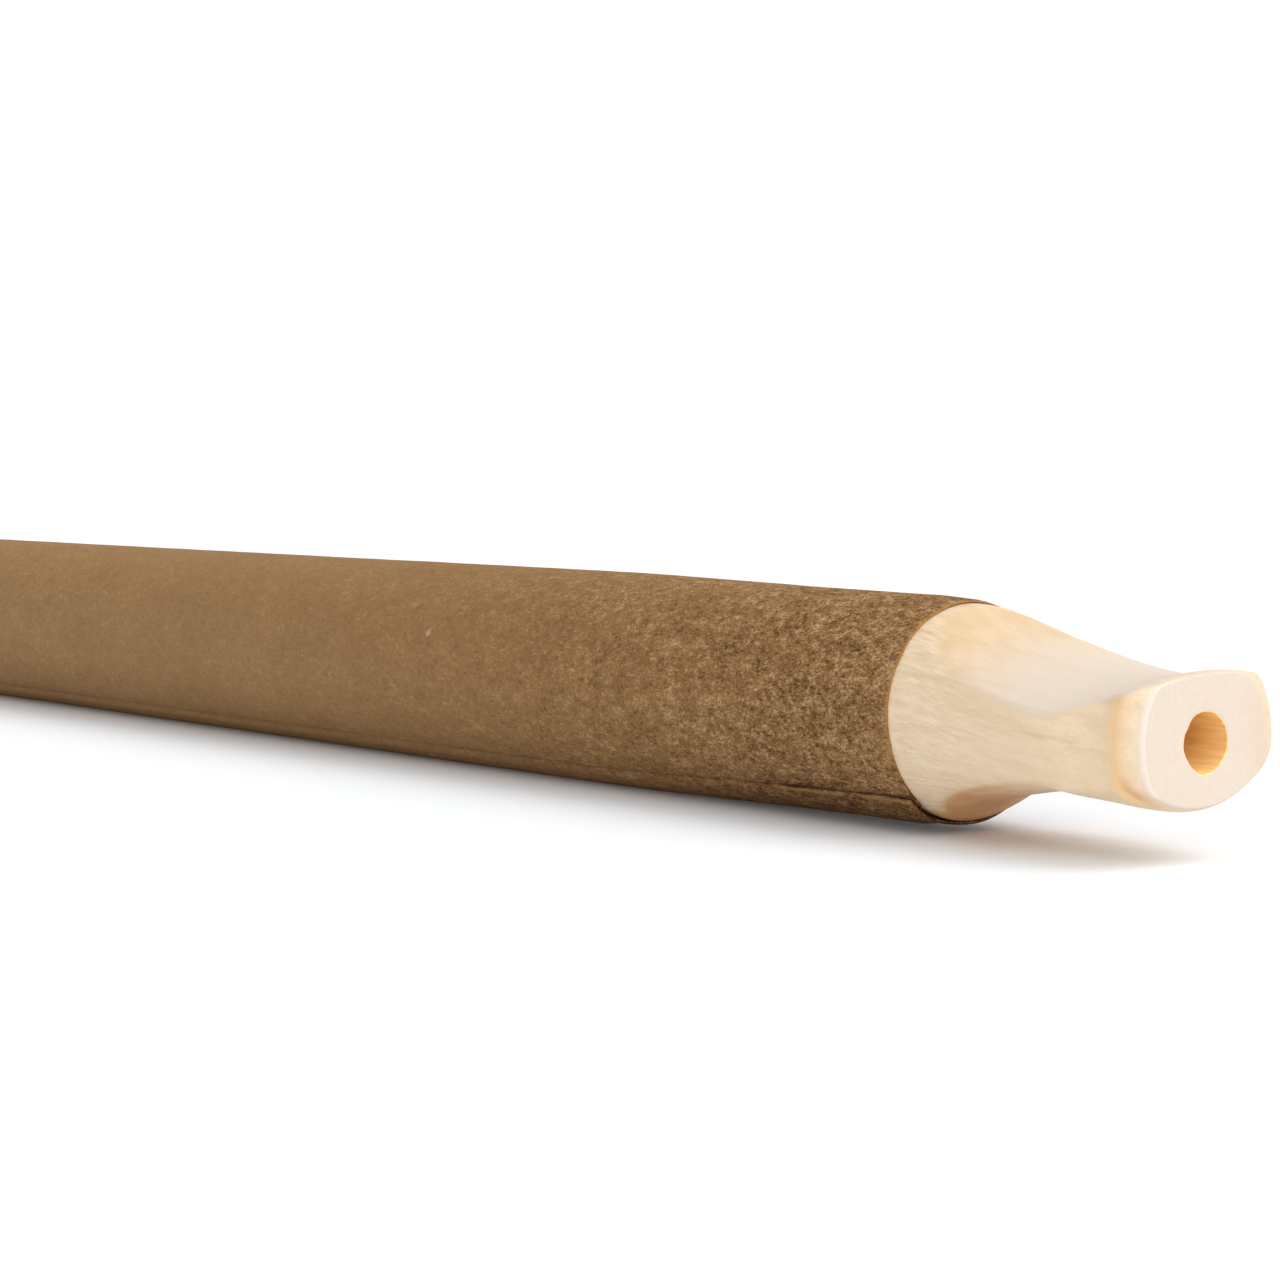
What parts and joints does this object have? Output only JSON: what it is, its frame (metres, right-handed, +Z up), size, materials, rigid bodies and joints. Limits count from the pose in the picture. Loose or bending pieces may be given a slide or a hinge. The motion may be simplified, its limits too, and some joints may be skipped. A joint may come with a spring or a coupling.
{
  "type": "wood-tipped cigarillo",
  "caption": "Round rod of cut leaf rolled in a speckled brown wrapper, with a birch mouthpiece that has hollowed flats, a blunt flared mouth and a through bore.",
  "frame": {"origin": "on the surface the rod lies on, under the middle of its length", "axes": "+X along the rod towards the mouth, +Z up"},
  "size_m": [0.125, 0.0106, 0.0106],
  "materials": {
    "birch": "bare sanded birch, matt, with fine straight grain along the length and a toasted tan at the mouth's side",
    "wrapper_leaf": "matt pressed-leaf sheet, mid brown with fine light and dark fibre specks",
    "binder_leaf": "matt pressed-leaf sheet, a little darker than the wrapper",
    "filler_leaf": "dry cut leaf, matt, mixed browns"
  },
  "bodies": {
    "root": {"mouthpiece": "birch", "wrapper": "wrapper_leaf", "binder": "binder_leaf", "filler_ribbon_01": "filler_leaf", "filler_ribbon_02": "filler_leaf", "filler_ribbon_03": "filler_leaf", "filler_ribbon_04": "filler_leaf", "filler_ribbon_05": "filler_leaf", "filler_ribbon_06": "filler_leaf", "filler_ribbon_07": "filler_leaf", "filler_ribbon_08": "filler_leaf", "filler_ribbon_09": "filler_leaf", "filler_ribbon_10": "filler_leaf", "filler_ribbon_11": "filler_leaf", "filler_ribbon_12": "filler_leaf", "filler_ribbon_13": "filler_leaf", "filler_ribbon_14": "filler_leaf", "filler_ribbon_15": "filler_leaf", "filler_ribbon_16": "filler_leaf", "filler_ribbon_17": "filler_leaf", "filler_ribbon_18": "filler_leaf", "filler_ribbon_19": "filler_leaf", "filler_ribbon_20": "filler_leaf", "filler_ribbon_21": "filler_leaf", "filler_ribbon_22": "filler_leaf", "filler_ribbon_23": "filler_leaf", "filler_ribbon_24": "filler_leaf", "filler_ribbon_25": "filler_leaf", "filler_ribbon_26": "filler_leaf", "filler_ribbon_27": "filler_leaf", "filler_ribbon_28": "filler_leaf", "filler_ribbon_29": "filler_leaf", "filler_ribbon_30": "filler_leaf", "filler_ribbon_31": "filler_leaf", "filler_ribbon_32": "filler_leaf", "filler_ribbon_33": "filler_leaf", "filler_ribbon_34": "filler_leaf"}
  },
  "joints": []
}
